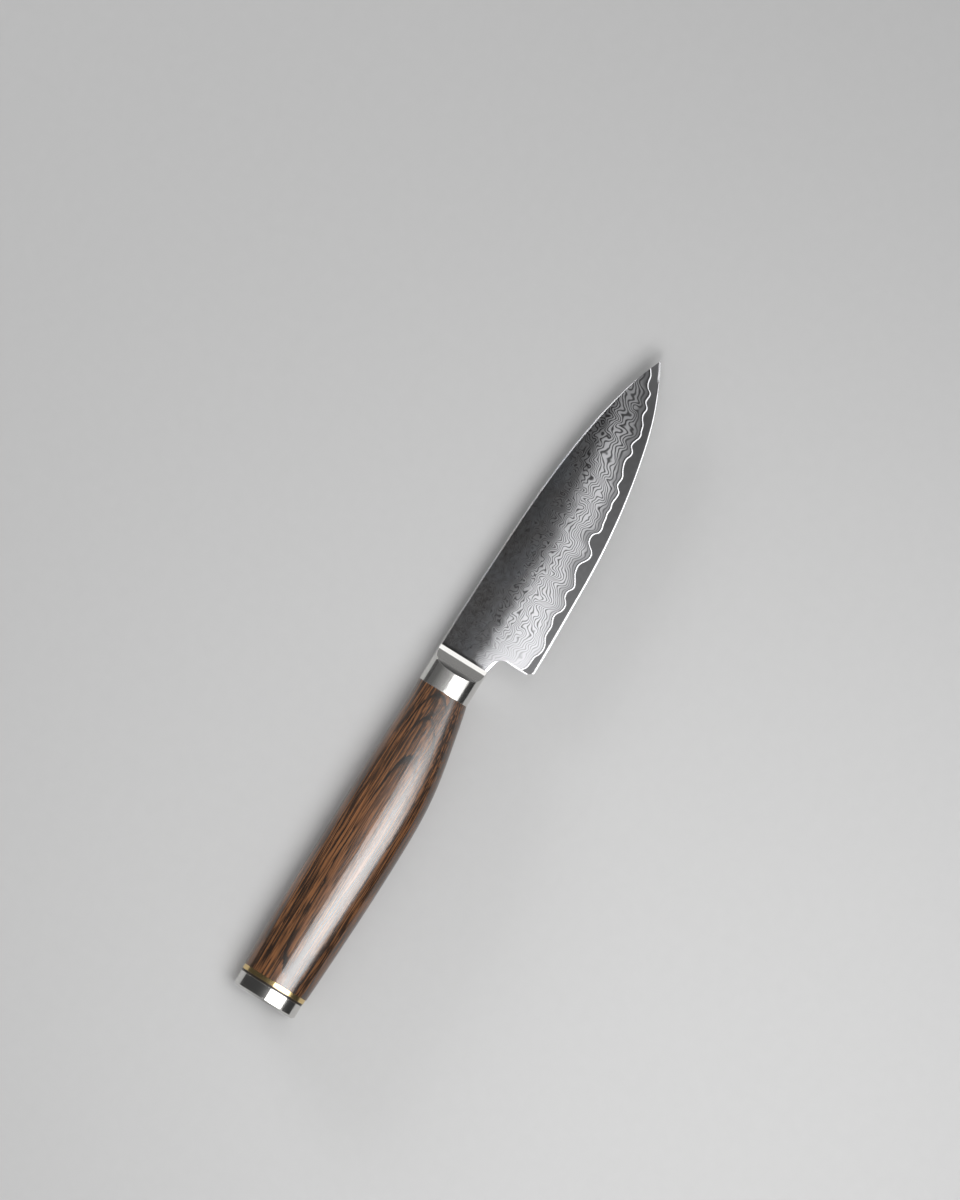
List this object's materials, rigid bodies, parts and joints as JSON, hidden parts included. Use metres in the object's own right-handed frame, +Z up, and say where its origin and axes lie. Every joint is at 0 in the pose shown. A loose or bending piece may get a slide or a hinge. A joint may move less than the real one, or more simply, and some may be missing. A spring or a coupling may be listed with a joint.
{
  "type": "paring knife",
  "caption": "Fixed-blade paring knife: laminated blade with patterned steel sides, steel bolster, oval wooden handle, brass ring and steel butt cap.",
  "frame": {"origin": "middle of the knife's outline, on the surface that the knife lies on", "axes": "+X from the butt to the tip, +Y towards the blade's spine, +Z up through the thickness, out of the blade's right side"},
  "size_m": [0.216, 0.0274, 0.0155],
  "materials": {
    "core_steel": "matte grey",
    "patterned_steel": "etched fold pattern",
    "polished_steel": "polished",
    "rod_steel": "plain",
    "brass": "polished",
    "wood": "satin, dark axial grain",
    "fibre": "vulcanised fibre",
    "epoxy": "cured adhesive"
  },
  "bodies": {
    "root": {"blade_core": "core_steel", "cladding_right": "patterned_steel", "cladding_left": "patterned_steel", "bolster": "polished_steel", "handle": "wood", "brass_spacer": "brass", "fibre_liner": "fibre", "end_cap": "polished_steel", "tang_rod": "rod_steel", "tang_adhesive": "epoxy"}
  },
  "joints": []
}
